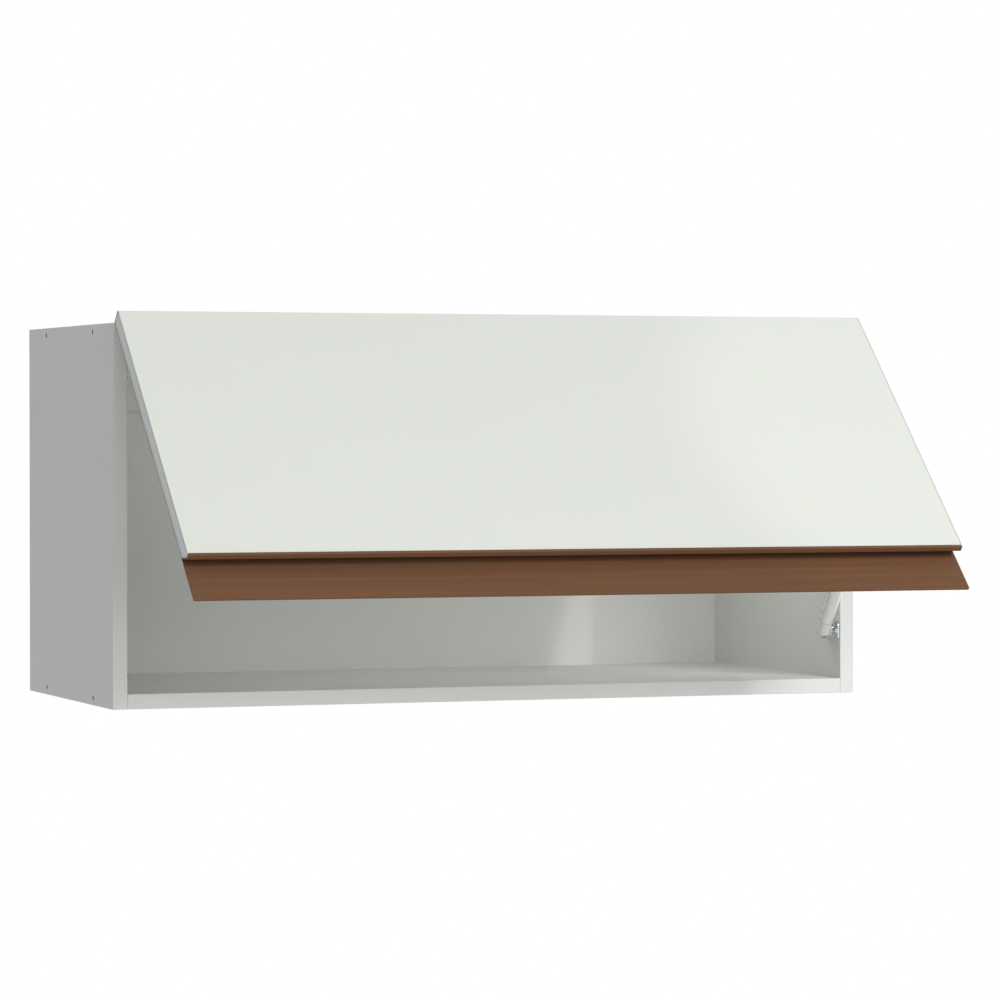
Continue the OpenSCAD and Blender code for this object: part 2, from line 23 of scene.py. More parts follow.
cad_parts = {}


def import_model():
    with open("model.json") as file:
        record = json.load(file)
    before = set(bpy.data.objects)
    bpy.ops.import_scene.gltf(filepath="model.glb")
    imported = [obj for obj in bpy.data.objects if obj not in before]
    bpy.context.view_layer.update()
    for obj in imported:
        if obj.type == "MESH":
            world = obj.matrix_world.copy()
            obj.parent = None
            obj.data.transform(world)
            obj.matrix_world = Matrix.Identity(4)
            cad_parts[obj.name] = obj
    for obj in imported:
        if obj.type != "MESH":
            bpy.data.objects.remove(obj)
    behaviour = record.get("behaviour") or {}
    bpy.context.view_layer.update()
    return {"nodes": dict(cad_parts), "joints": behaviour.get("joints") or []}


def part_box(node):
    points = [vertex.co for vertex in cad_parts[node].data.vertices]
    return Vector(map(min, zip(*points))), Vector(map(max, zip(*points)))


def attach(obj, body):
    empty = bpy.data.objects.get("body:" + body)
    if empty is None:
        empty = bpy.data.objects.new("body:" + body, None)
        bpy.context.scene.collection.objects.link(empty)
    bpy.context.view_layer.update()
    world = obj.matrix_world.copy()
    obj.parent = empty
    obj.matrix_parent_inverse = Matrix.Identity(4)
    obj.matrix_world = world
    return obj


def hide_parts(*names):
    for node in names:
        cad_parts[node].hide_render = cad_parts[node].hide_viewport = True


LOG = logging.getLogger("cabinet")
MM = 0.001  # metres
SKIN = 0.02  # radius of an edge that is as good as sharp, mm
HAIR = 0.02  # distance at which a sharp corner keeps both its normals, mm
SLIGHT = 1e-3  # bend that is too slight for an arc, radians
TINY = 1e-9  # least length that is divided by
WELD = 2e-6  # distance at which two points become one, metres
SLIVER = 1e-6  # length at which an edge of a face is dropped, metres
EASE_RINGS = 4  # sections across the rounding of an extrusion's end
TIP_RINGS = 6  # sections across the rounded corner of its tip
TIP_START = 0.5  # from the end's rounding to the first of them, mm
PLAIN_RING = 1.5  # from the end's rounding to the last section, mm
Array = np.ndarray
Colour = tuple[float, float, float]
Place = tuple[float, float, float]
Corners = list[tuple[float, float, float]]


# ---- shaders


class Value:
    """A number or colour that runs through a shader: one output socket."""

    def __init__(self, graph: "Graph",
                 socket: bpy.types.NodeSocket | None) -> None:
        """Wraps a socket of a graph."""
        self.graph = graph
        self.socket = socket

    def _math(self, operation: str, first: "Value | float",
              second: "Value | float") -> "Value":
        """Adds a Math node.

        Args:
            operation: Name of the Math node's operation.
            first: First operand, a Value or a number.
            second: Second operand, a Value or a number.

        Returns:
            The node's result.
        """
        return self.graph.node("ShaderNodeMath", {"operation": operation},
                               {0: first, 1: second})

    def __add__(self, other: "Value | float") -> "Value":
        """Sum."""
        return self._math("ADD", self, other)

    def __radd__(self, other: "Value | float") -> "Value":
        """Sum with a number on the left."""
        return self._math("ADD", other, self)

    def __sub__(self, other: "Value | float") -> "Value":
        """Difference."""
        return self._math("SUBTRACT", self, other)

    def __rsub__(self, other: "Value | float") -> "Value":
        """Difference from a number."""
        return self._math("SUBTRACT", other, self)

    def __mul__(self, other: "Value | float") -> "Value":
        """Product."""
        return self._math("MULTIPLY", self, other)

    def __rmul__(self, other: "Value | float") -> "Value":
        """Product with a number on the left."""
        return self._math("MULTIPLY", other, self)

    def __gt__(self, other: "Value | float") -> "Value":
        """1 where this value is the greater one, else 0."""
        return self._math("GREATER_THAN", self, other)

    def __lt__(self, other: "Value | float") -> "Value":
        """1 where this value is the lesser one, else 0."""
        return self._math("LESS_THAN", self, other)


class Graph:
    """Builds the node tree of one material or world."""

    def __init__(self, tree: bpy.types.NodeTree) -> None:
        """Starts from an emptied tree."""
        self.tree = tree
        tree.nodes.clear()

    def node(self, kind: str, settings: dict | None = None,
             inputs: dict | None = None, out: int | str = 0) -> Value:
        """Adds a node.

        Args:
            kind: Blender's type name of the node.
            settings: Attributes that are set first.
            inputs: Socket index, identifier or name to a Value or a constant.
            out: Index or name of the output that is returned.

        Returns:
            The chosen output, or an empty Value if the node has none.
        """
        made = self.tree.nodes.new(kind)
        for name, value in (settings or {}).items():
            setattr(made, name, value)
        for key, value in (inputs or {}).items():
            socket = self._input(made, key)
            if isinstance(value, Value):
                self.tree.links.new(value.socket, socket)
            else:
                socket.default_value = value
        if not made.outputs:
            return Value(self, None)
        return Value(self, made.outputs[out])

    @staticmethod
    def _input(made: bpy.types.Node, key: int | str) -> bpy.types.NodeSocket:
        """Finds an input by index, identifier or name."""
        if isinstance(key, int):
            return made.inputs[key]
        for socket in made.inputs:
            if socket.identifier == key:
                return socket
        return made.inputs[key]

    def place(self, stretch: Place = (1.0, 1.0, 1.0)) -> Value:
        """Object coordinates, multiplied along each axis.

        Args:
            stretch: Factor of each axis.

        Returns:
            The coordinates, in metres times the factors.
        """
        spot = self.node("ShaderNodeTexCoord", out="Object")
        return self.node("ShaderNodeMapping", None,
                         {"Vector": spot, "Scale": stretch})

    def noise(self, spot: Value, scale: float, detail: float = 3.0,
              rough: float = 0.5) -> Value:
        """Fractal noise from 0 to 1, at about 1/scale metres a lump."""
        return self.node("ShaderNodeTexNoise", {"noise_dimensions": "3D"},
                         {"Vector": spot, "Scale": scale, "Detail": detail,
                          "Roughness": rough})

    def span(self, value: Value, low: float, high: float, to_low: float = 0.0,
             to_high: float = 1.0) -> Value:
        """Maps low..high to to_low..to_high, and holds it at both ends."""
        return self.node("ShaderNodeMapRange", {"clamp": True},
                         {"Value": value, "From Min": low, "From Max": high,
                          "To Min": to_low, "To Max": to_high})

    def blend(self, share: Value, first: Value | Colour,
              second: Value | Colour) -> Value:
        """Mixes two colours; share 0 gives the first."""
        return self.node("ShaderNodeMix", {"data_type": "RGBA"},
                         {"Factor_Float": share, "A_Color": rgba(first),
                          "B_Color": rgba(second)}, out=2)

    def tones(self, share: Value, colour: Colour, low: float,
              high: float) -> Value:
        """Colour times low where the share is 0, times high where it is 1."""
        return self.blend(share, shade(colour, low), shade(colour, high))

    def bump(self, height: Value, depth_mm: float) -> Value:
        """Normal bent by a height from 0 to 1 that is depth_mm deep."""
        return self.node("ShaderNodeBump", None,
                         {"Height": height, "Distance": depth_mm * MM,
                          "Strength": 1.0})

    def surface(self, inputs: dict) -> None:
        """Ends the tree in a Principled shader with the given inputs."""
        shader = self.node("ShaderNodeBsdfPrincipled", None, inputs)
        self.node("ShaderNodeOutputMaterial", None, {"Surface": shader})


def rgba(colour: Value | Colour) -> Value | tuple[float, ...]:
    """Colour with alpha 1, or a Value as it is."""
    return colour if isinstance(colour, Value) else (*colour, 1.0)


def shade(colour: Colour, factor: float) -> Colour:
    """Colour times a factor."""
    return tuple(min(1.0, c * factor) for c in colour)


def sway(noise: Value, width: float) -> Value:
    """Noise from 0 to 1 as a change either way of 0, width from end to end."""
    return (noise - 0.5) * width


class Run(Enum):
    """Direction in which a finish is brushed, drawn or grained."""

    ALONG_X = (0.02, 1.0, 1.0)
    ALONG_Y = (1.0, 0.02, 1.0)
    ALONG_Z = (1.0, 1.0, 0.02)


@dataclass(frozen=True)
class Finish:
    """A finish: one material, made once and shared.

    Attributes:
        name: Name of the record's slot; the material adds "_finish".
        colour: Base colour, linear.
        roughness: Mean roughness.
    """

    name: str
    colour: Colour
    roughness: float = 0.5

    def material(self) -> bpy.types.Material:
        """The finish's material, made at the first call."""
        found = bpy.data.materials.get(self.name + "_finish")
        if found is None:
            found = bpy.data.materials.new(self.name + "_finish")
            found.use_nodes = True
            self.paint(Graph(found.node_tree))
        return found

    def paint(self, graph: Graph) -> None:
        """Fills the material's node tree."""
        raise NotImplementedError


@dataclass(frozen=True)
class Melamine(Finish):
    """Melamine-faced board: a pearl emboss, faint clouds and wiped traces.

    Attributes:
        emboss_mm: Depth of the emboss.
    """

    emboss_mm: float = 0.012

    def paint(self, graph: Graph) -> None:
        """Soft clouds in colour and gloss over a fine emboss."""
        spot = graph.place()
        clouds = graph.noise(spot, scale=7.0, detail=3.0)
        wiped = graph.noise(graph.place((1.0, 0.25, 1.0)), scale=38.0,
                            detail=4.0, rough=0.6)
        pearl = graph.noise(spot, scale=1500.0, detail=2.0, rough=0.6)
        colour = graph.tones(graph.span(clouds, 0.35, 0.65), self.colour,
                             0.985, 1.012)
        gloss = sway(clouds, 0.10) + sway(wiped, 0.10) + self.roughness
        graph.surface({"Base Color": colour, "Roughness": gloss,
                       "IOR": 1.45, "Specular IOR Level": 0.4,
                       "Normal": graph.bump(pearl, self.emboss_mm)})


@dataclass(frozen=True)
class EdgeBand(Finish):
    """Edge band: satin plastic with drawing lines along its length."""

    def paint(self, graph: Graph) -> None:
        """Fine lines across the band and faint gloss changes."""
        lines = graph.noise(graph.place((0.03, 1.0, 0.03)), scale=900.0,
                            detail=3.0, rough=0.6)
        clouds = graph.noise(graph.place(), scale=11.0, detail=2.0)
        colour = graph.tones(clouds, self.colour, 0.985, 1.01)
        gloss = sway(lines, 0.12) + sway(clouds, 0.08) + self.roughness
        graph.surface({"Base Color": colour, "Roughness": gloss,
                       "IOR": 1.46, "Specular IOR Level": 0.4,
                       "Normal": graph.bump(lines, 0.008)})


@dataclass(frozen=True)
class FrontCoat(Finish):
    """Satin coat of the flap's board, with a faint orange peel."""

    def paint(self, graph: Graph) -> None:
        """Orange peel in the relief and slight changes of gloss."""
        spot = graph.place()
        peel = graph.noise(spot, scale=420.0, detail=2.0, rough=0.45)
        clouds = graph.noise(spot, scale=5.0, detail=2.0)
        colour = graph.tones(clouds, self.colour, 0.992, 1.006)
        gloss = sway(clouds, 0.08) + sway(peel, 0.05) + self.roughness
        graph.surface({"Base Color": colour, "Roughness": gloss,
                       "IOR": 1.46, "Specular IOR Level": 0.18,
                       "Normal": graph.bump(peel, 0.006)})


@dataclass(frozen=True)
class Hardboard(Finish):
    """Hardboard: a lacquered face inside, bare brown fibre on the wall side.

    Attributes:
        fibre: Colour of the bare fibre.
        split_mm: Depth, in Y, at which the lacquer ends.
        bare_rough: Roughness of the bare fibre.
    """

    fibre: Colour = (0.23, 0.125, 0.06)
    split_mm: float = -2.2
    bare_rough: float = 0.85

    def paint(self, graph: Graph) -> None:
        """Lacquer before the split, matted fibre behind it."""
        spot = graph.place()
        depth = graph.node("ShaderNodeSeparateXYZ", None, {"Vector": spot},
                           out=1)
        bare = depth > self.split_mm * MM
        fibres = graph.noise(graph.place((1.0, 1.0, 0.3)), scale=1100.0,
                             detail=5.0, rough=0.7)
        clouds = graph.noise(spot, scale=9.0, detail=4.0, rough=0.55)
        pearl = graph.noise(spot, scale=1300.0, detail=2.0)
        brown = graph.tones(graph.span(fibres, 0.3, 0.7), self.fibre, 0.62,
                            1.35)
        patchy = graph.blend(graph.span(clouds, 0.3, 0.7, 0.0, 0.35), brown,
                             shade(self.fibre, 0.7))
        white = graph.tones(clouds, self.colour, 0.985, 1.01)
        gloss = bare * (self.bare_rough - self.roughness) + self.roughness
        relief = bare * (fibres - 0.5) + pearl * 0.12
        graph.surface({"Base Color": graph.blend(bare, white, patchy),
                       "Roughness": gloss, "Specular IOR Level": 0.35,
                       "Normal": graph.bump(relief, 0.07)})


@dataclass(frozen=True)
class Anodised(Finish):
    """Anodised aluminium extrusion: die lines along it under a satin film.

    Attributes:
        metallic: Share of the metal's own reflection.
        shine: Level of the film's reflection.
    """

    metallic: float = 0.0
    shine: float = 0.12

    def paint(self, graph: Graph) -> None:
        """Lengthwise die lines, faint streaks of tone and film clouds."""
        lines = graph.noise(graph.place((0.004, 1.0, 1.0)), scale=1800.0,
                            detail=3.0, rough=0.65)
        streaks = graph.noise(graph.place((0.01, 1.0, 1.0)), scale=260.0,
                              detail=2.0)
        clouds = graph.noise(graph.place((0.3, 1.0, 1.0)), scale=14.0,
                             detail=3.0)
        tone = graph.span(streaks, 0.3, 0.7)
        colour = graph.tones(tone, self.colour, 0.90, 1.08)
        gloss = sway(lines, 0.16) + sway(clouds, 0.10) + self.roughness
        graph.surface({"Base Color": colour, "Roughness": gloss,
                       "Metallic": self.metallic,
                       "Specular IOR Level": self.shine,
                       "Normal": graph.bump(lines, 0.006)})


@dataclass(frozen=True)
class Plated(Finish):
    """Plated sheet or screw steel: a crystal mottle, rolling lines and rub.

    Attributes:
        run: Direction of the sheet's rolling lines.
    """

    run: Run = Run.ALONG_X

    def paint(self, graph: Graph) -> None:
        """Mottle in tone and gloss with directional lines in the relief."""
        spot = graph.place()
        lines = graph.noise(graph.place(self.run.value), scale=2200.0,
                            detail=3.0, rough=0.6)
        mottle = graph.noise(spot, scale=320.0, detail=4.0, rough=0.6)
        rub = graph.noise(spot, scale=60.0, detail=3.0, rough=0.6)
        tone = graph.span(mottle, 0.3, 0.7)
        colour = graph.tones(tone, self.colour, 0.86, 1.08)
        gloss = sway(mottle, 0.16) + sway(rub, 0.22) + self.roughness
        graph.surface({"Base Color": colour, "Roughness": gloss,
                       "Metallic": 1.0,
                       "Normal": graph.bump(lines, 0.006)})


@dataclass(frozen=True)
class Polished(Finish):
    """Ground and chromed or turned bright steel, with faint rings."""

    def paint(self, graph: Graph) -> None:
        """Nearly smooth metal with grinding rings and a breath of haze."""
        rings = graph.noise(graph.place((0.1, 1.0, 1.0)), scale=2600.0,
                            detail=2.0)
        haze = graph.noise(graph.place(), scale=90.0, detail=3.0)
        colour = graph.tones(haze, self.colour, 0.97, 1.0)
        gloss = sway(haze, 0.10) + self.roughness
        graph.surface({"Base Color": colour, "Roughness": gloss,
                       "Metallic": 1.0,
                       "Normal": graph.bump(rings, 0.002)})


@dataclass(frozen=True)
class TubeLacquer(Finish):
    """Silver-grey lacquer on a drawn tube, with faint flake and peel."""

    def paint(self, graph: Graph) -> None:
        """Peel in the relief and fine flake in the tone."""
        spot = graph.place()
        flake = graph.noise(spot, scale=5200.0, detail=2.0, rough=0.7)
        peel = graph.noise(spot, scale=520.0, detail=2.0, rough=0.45)
        clouds = graph.noise(spot, scale=25.0, detail=3.0)
        colour = graph.tones(graph.span(flake, 0.35, 0.65), self.colour, 0.94,
                             1.05)
        gloss = sway(clouds, 0.12) + self.roughness
        graph.surface({"Base Color": colour, "Roughness": gloss,
                       "Metallic": 0.55, "Coat Weight": 0.3,
                       "Coat Roughness": 0.2,
                       "Normal": graph.bump(peel, 0.010)})


@dataclass(frozen=True)
class Moulded(Finish):
    """Moulded plastic or rubber with a spark-eroded texture.

    Attributes:
        grain_mm: Depth of the texture.
        scatter: Share of light that scatters below the surface.
    """

    grain_mm: float = 0.02
    scatter: float = 0.0

    def paint(self, graph: Graph) -> None:
        """Spark texture over faint flow clouds."""
        spot = graph.place()
        grain = graph.noise(spot, scale=1700.0, detail=3.0, rough=0.7)
        flow = graph.noise(spot, scale=80.0, detail=2.0)
        colour = graph.tones(flow, self.colour, 0.93, 1.05)
        gloss = sway(grain, 0.14) + self.roughness
        graph.surface({"Base Color": colour, "Roughness": gloss,
                       "Subsurface Weight": self.scatter,
                       "Subsurface Scale": 0.002,
                       "Normal": graph.bump(grain, self.grain_mm)})


@dataclass(frozen=True)
class Timber(Finish):
    """Turned hardwood with its grain along X."""

    def paint(self, graph: Graph) -> None:
        """Grain lines in colour, gloss and relief."""
        grain = graph.noise(graph.place((0.05, 1.0, 1.0)), scale=1300.0,
                            detail=4.0, rough=0.65)
        rings = graph.noise(graph.place((0.1, 1.0, 1.0)), scale=260.0,
                            detail=2.0)
        tone = graph.span(grain * 0.6 + rings * 0.4, 0.35, 0.65)
        colour = graph.tones(tone, self.colour, 0.72, 1.15)
        graph.surface({"Base Color": colour,
                       "Roughness": grain * 0.2 + self.roughness,
                       "Normal": graph.bump(grain, 0.03)})


BOARD = Melamine("carcass_board", (0.735, 0.745, 0.725), 0.42)
BAND = EdgeBand("carcass_edging", (0.745, 0.755, 0.730), 0.38)
BACK = Hardboard("back_board", (0.735, 0.740, 0.715), 0.45)
FRONT = FrontCoat("flap_board", (0.755, 0.780, 0.728), 0.52)
FRONT_BAND = EdgeBand("flap_edging", (0.735, 0.755, 0.725), 0.40)
BRONZE = Anodised("pull_aluminium", (0.164, 0.080, 0.042), 0.58)
BRONZE_SCREW = Plated("pull_screw_steel", (0.30, 0.20, 0.14), 0.35)
NICKEL = Plated("hinge_steel", (0.62, 0.62, 0.60), 0.30, Run.ALONG_X)
NICKEL_SCREW = Plated("hinge_screw_steel", (0.60, 0.60, 0.58), 0.26,
                      Run.ALONG_Z)
ZINC = Plated("bracket_steel", (0.66, 0.68, 0.70), 0.28, Run.ALONG_Z)
ZINC_SCREW = Plated("bracket_screw_steel", (0.74, 0.76, 0.78), 0.18,
                    Run.ALONG_Y)
STUD = Polished("stud_steel", (0.78, 0.79, 0.80), 0.10)
CHROME = Polished("rod_chrome", (0.78, 0.79, 0.80), 0.08)
TUBE = TubeLacquer("tube_paint", (0.86, 0.87, 0.85), 0.26)
SOCKET = Moulded("socket_plastic", (0.70, 0.71, 0.68), 0.36)
CLIP = Plated("clip_steel", (0.52, 0.54, 0.56), 0.25, Run.ALONG_Y)
GUIDE = Plated("guide_brass", (0.62, 0.46, 0.20), 0.30, Run.ALONG_X)
SEAL = Moulded("seal_rubber", (0.02, 0.02, 0.022), 0.55)
PISTON = Plated("piston_steel", (0.38, 0.39, 0.40), 0.35, Run.ALONG_X)
DARK_SCREW = Plated("side_screw_steel", (0.05, 0.052, 0.055), 0.45,
                    Run.ALONG_Z)
NAIL = Plated("nail_steel", (0.50, 0.50, 0.50), 0.35, Run.ALONG_Z)
BEECH = Timber("dowel_wood", (0.62, 0.42, 0.22), 0.5)
BUFFER = Moulded("buffer_rubber", (0.74, 0.75, 0.73), 0.30, 0.008, 0.4)

NODE_FINISHES = {
    "left_side": BOARD, "right_side": BOARD, "top_panel": BOARD,
    "bottom_panel": BOARD, "hanging_rail": BOARD, "back_panel": BACK,
    "carcass_edge_bands": BAND, "joint_dowels": BEECH,
    "side_screws": DARK_SCREW, "back_nails": NAIL,
    "flap_panel": FRONT, "flap_edge_bands": FRONT_BAND,
    "pull_profile": BRONZE, "pull_screws": BRONZE_SCREW,
    "flap_buffers": BUFFER,
    "hinge_carcass_leaf": NICKEL, "hinge_flap_leaf": NICKEL,
    "hinge_pin": NICKEL, "hinge_carcass_screws": NICKEL_SCREW,
    "hinge_flap_screws": NICKEL_SCREW,
    "side_bracket": ZINC, "side_bracket_screws": ZINC_SCREW,
    "side_ball_stud": STUD, "flap_bracket": ZINC,
    "flap_bracket_screws": ZINC_SCREW, "flap_ball_stud": STUD,
    "strut_tube": TUBE, "strut_guide": GUIDE, "strut_seal": SEAL,
    "tube_socket": SOCKET, "tube_clip": CLIP, "strut_rod": CHROME,
    "strut_piston": PISTON, "rod_socket": SOCKET, "rod_clip": CLIP,
}


# ---- meshes


@dataclass
class Shell:
    """One closed surface, in millimetres.

    Attributes:
        points: Its points, one to a row.
        normals: Their unit normals.
        quads: Its four-sided faces, four point numbers to a row.
        caps: Its other faces, as arrays of point numbers.
    """

    points: Array
    normals: Array
    quads: Array
    caps: list[Array]

    def moved(self, move: Callable[[Array, Array], tuple[Array, Array]]
              ) -> "Shell":
        """The shell with its points and normals put through a rigid move.

        Args:
            move: Function of (points, normals) that returns both moved.

        Returns:
            A new shell.
        """
        return Shell(*move(self.points, self.normals), self.quads, self.caps)

    def faces(self, start: int) -> list[list[int]]:
        """Its faces, with the point numbers counted from a start."""
        return ((self.quads + start).tolist()
                + [(cap + start).tolist() for cap in self.caps])


def grid_faces(rows: int, columns: int, closed: bool = True) -> Array:
    """Quads of a grid.

    Args:
        rows: Number of rows.
        columns: Number of points in a row.
        closed: Whether a row's last point joins its first.

    Returns:
        Array of quads, four point numbers each.
    """
    row, column = np.meshgrid(np.arange(rows - 1),
                              np.arange(columns if closed else columns - 1),
                              indexing="ij")
    after = (column + 1) % columns
    below = row + 1
    return np.stack([row * columns + column, row * columns + after,
                     below * columns + after, below * columns + column],
                    axis=-1).reshape(-1, 4)


def eased_box(low: Array, high: Array, radius: float, steps: int = 3) -> Shell:
    """Box whose edges and corners are rounded.

    Each point is a corner of the inner box plus the radius times a direction
    on the sphere, worked out for all longitudes and latitudes at once.

    Args:
        low: Lowest corner.
        high: Highest corner.
        radius: Radius of the edges.
        steps: Segments of a quarter turn.

    Returns:
        The closed shell.
    """
    quarter = np.linspace(0.0, math.pi / 2, steps + 1)
    lon = (np.arange(4)[:, None] * math.pi / 2 + quarter).ravel()
    lat = np.concatenate([quarter - math.pi / 2, quarter])
    side = np.repeat(np.array([[1, 1], [-1, 1], [-1, -1], [1, -1]]),
                     steps + 1, axis=0)
    way = np.stack([np.cos(lat)[:, None] * np.cos(lon),
                    np.cos(lat)[:, None] * np.sin(lon),
                    np.repeat(np.sin(lat)[:, None], len(lon), axis=1)],
                   axis=-1)
    sign = np.empty_like(way)
    sign[..., 0] = side[:, 0]
    sign[..., 1] = side[:, 1]
    sign[..., 2] = np.where(np.arange(len(lat)) <= steps, -1, 1)[:, None]
    half = (high - low) / 2 - radius
    points = (low + high) / 2 + sign * half + radius * way
    floor = np.arange(4) * (steps + 1)
    roof = floor + (len(lat) - 1) * len(lon)
    return Shell(points.reshape(-1, 3), way.reshape(-1, 3),
                 grid_faces(len(lat), len(lon)), [floor[::-1], roof])


def turned(profile: Array, centre: Array, axis: Array,
           segments: int = 48) -> Shell:
    """Solid of revolution.

    A point of the profile at radius r and height h goes to centre + h * axis
    + r * (cos a * u + sin a * v) for every angle a at once.

    Args:
        profile: Rows of radius and height, from the bottom pole to the top.
        centre: Origin of the heights.
        axis: Unit direction of the axis.
        segments: Points round the axis.

    Returns:
        The shell, closed where the profile ends on the axis.
    """
    u = np.cross(np.eye(3)[np.argmin(np.abs(axis))], axis)
    u /= np.linalg.norm(u)
    v = np.cross(axis, u)
    angle = np.arange(segments) * 2 * math.pi / segments
    round_ = np.cos(angle)[:, None] * u + np.sin(angle)[:, None] * v
    radius, height = profile[:, 0], profile[:, 1]
    points = (centre + height[:, None, None] * axis
              + radius[:, None, None] * round_)
    slope = np.gradient(profile, axis=0)
    length = np.maximum(np.hypot(slope[:, 0], slope[:, 1]), TINY)
    out, along = slope[:, 1] / length, -slope[:, 0] / length
    normals = (out[:, None, None] * round_ + along[:, None, None] * axis)
    return Shell(points.reshape(-1, 3), normals.reshape(-1, 3),
                 grid_faces(len(profile), segments), [])


def rounded_path(corners: Corners, steps: int = 6) -> Array:
    """Line through corners whose corners are arcs.

    At each corner the arc touches both legs; its points are the centre plus
    the radius times directions that turn from one leg's normal to the other.

    Args:
        corners: Points of the open line: two coordinates and the radius of
            the arc there, 0 for a sharp corner.
        steps: Segments of an arc.

    Returns:
        Points of the line.
    """
    rows = np.asarray(corners, float)
    line, radii = rows[:, :2], rows[:, 2]
    parts = [line[:1]]
    for before, here, after, radius in zip(line[:-2], line[1:-1], line[2:],
                                           radii[1:-1]):
        one = (before - here) / np.linalg.norm(before - here)
        two = (after - here) / np.linalg.norm(after - here)
        half = math.acos(float(np.clip(one @ two, -1, 1))) / 2
        if radius <= 0 or half > math.pi / 2 - SLIGHT:
            parts.append(here[None])
            continue
        bisector = (one + two) / np.linalg.norm(one + two)
        centre = here + bisector * radius / math.sin(half)
        start = here + one * radius / math.tan(half) - centre
        stop = here + two * radius / math.tan(half) - centre
        turn = math.atan2(start[0] * stop[1] - start[1] * stop[0],
                          float(start @ stop))
        angle = np.linspace(0, turn, steps + 1)
        parts.append(centre + np.stack(
            [start[0] * np.cos(angle) - start[1] * np.sin(angle),
             start[0] * np.sin(angle) + start[1] * np.cos(angle)], axis=-1))
    parts.append(line[-1:])
    return np.concatenate(parts)


def rounded_outline(corners: Corners, steps: int = 6) -> Array:
    """Closed line through corners whose corners are arcs.

    The line starts and ends half-way between the last corner and the first.

    Args:
        corners: Corners of the outline, clockwise, as rounded_path() has
            them.
        steps: Segments of an arc.

    Returns:
        Points of the line, the first one not repeated.
    """
    middle = (np.array(corners[0]) + np.array(corners[-1])) / 2
    start = (middle[0], middle[1], 0.0)
    return rounded_path([start, *corners, start], steps)[:-1]


def inset(near: Array, radius: Array | float) -> Array:
    """Depth of a rounded edge: e - sqrt(e^2 - (e - d)^2) at a distance d.

    Args:
        near: Distances d from the end.
        radius: The edge's radius e.

    Returns:
        How far the surface is drawn in there, 0 past the rounding.
    """
    short = np.clip(radius - near, 0, radius)
    return radius - np.sqrt(radius ** 2 - short ** 2)


def carried(line: Array, low: float, high: float, eases: tuple[float, float],
            tip: Array | None = None, tip_corner: float = 0.0) -> Shell:
    """Solid of a plane section carried along X, with eased ends.

    The section near an end is drawn in along its normals by inset(). Points
    with a tip share are also lifted by it, with the tip corner's radius. A
    point's normal stands on the line between its two neighbours, so that
    beside an arc it keeps the normal of its long straight leg.

    Args:
        line: Closed section, clockwise, as rows of Y and Z.
        low: X of the left end.
        high: X of the right end.
        eases: Radius of the rounding at the left and at the right end.
        tip: Share from 0 to 1 of each point in the tip's rounded corners.
        tip_corner: Radius of the tip's corners.

    Returns:
        The closed shell.
    """
    ahead, behind = np.roll(line, -1, axis=0), np.roll(line, 1, axis=0)
    way = ahead - behind
    way /= np.linalg.norm(way, axis=1)[:, None]
    normal = np.stack([-way[:, 1], way[:, 0]], axis=-1)
    tail = (np.linspace(TIP_START, tip_corner, TIP_RINGS) if tip_corner
            else np.array([PLAIN_RING]))
    left, right = (np.concatenate([np.linspace(0, e, EASE_RINGS), tail + e])
                   for e in eases)
    along = np.concatenate([low + left, high - right[::-1]])
    ease = np.repeat(eases, [len(left), len(right)])
    near = np.minimum(along - low, high - along)
    drawn = inset(near, ease)
    ring = line[None] - drawn[:, None, None] * normal[None]
    if tip is not None:
        ring[..., 1] += inset(near, tip_corner)[:, None] * tip[None]
    points = np.stack([np.repeat(along[:, None], len(line), axis=1),
                       ring[..., 0], ring[..., 1]], axis=-1)
    tilt = np.clip((ease - near) / ease, 0, 1) * np.where(
        along - low < high - along, -1, 1)
    flat = np.sqrt(1 - tilt ** 2)
    normals = np.stack([np.repeat(tilt[:, None], len(line), axis=1),
                        flat[:, None] * normal[None, :, 0],
                        flat[:, None] * normal[None, :, 1]], axis=-1)
    start = np.arange(len(line))
    end = start + (len(along) - 1) * len(line)
    return Shell(points.reshape(-1, 3), normals.reshape(-1, 3),
                 grid_faces(len(along), len(line))[:, ::-1],
                 [start, end[::-1]])


def dense(profile: Array, sharp: float = 25.0) -> Array:
    """Adds a point a hair before and after each sharp corner of a profile.

    The corner's two neighbours are its place minus and plus a hair times the
    direction of the leg there, so each leg keeps its own normal in turned().

    Args:
        profile: Rows of radius and height.
        sharp: Angle in degrees above which a corner counts as sharp.

    Returns:
        The profile with its sharp corners as three near points each.
    """
    legs = np.diff(profile, axis=0)
    legs = legs / np.maximum(np.linalg.norm(legs, axis=1), TINY)[:, None]
    dots = np.clip((legs[:-1] * legs[1:]).sum(1), -1, 1)
    bends = np.degrees(np.arccos(dots)) > sharp
    inner = profile[1:-1]
    near = np.stack([inner - HAIR * legs[:-1], inner, inner + HAIR * legs[1:]],
                    axis=1)
    kept = np.stack([bends, np.ones_like(bends), bends], axis=1)
    return np.concatenate([profile[:1], near[kept], profile[-1:]])


def put(name: str, data: bpy.types.ID) -> bpy.types.Object:
    """Puts an object of the given mesh, lamp or camera into the scene."""
    made = bpy.data.objects.new(name, data)
    bpy.context.scene.collection.objects.link(made)
    return made


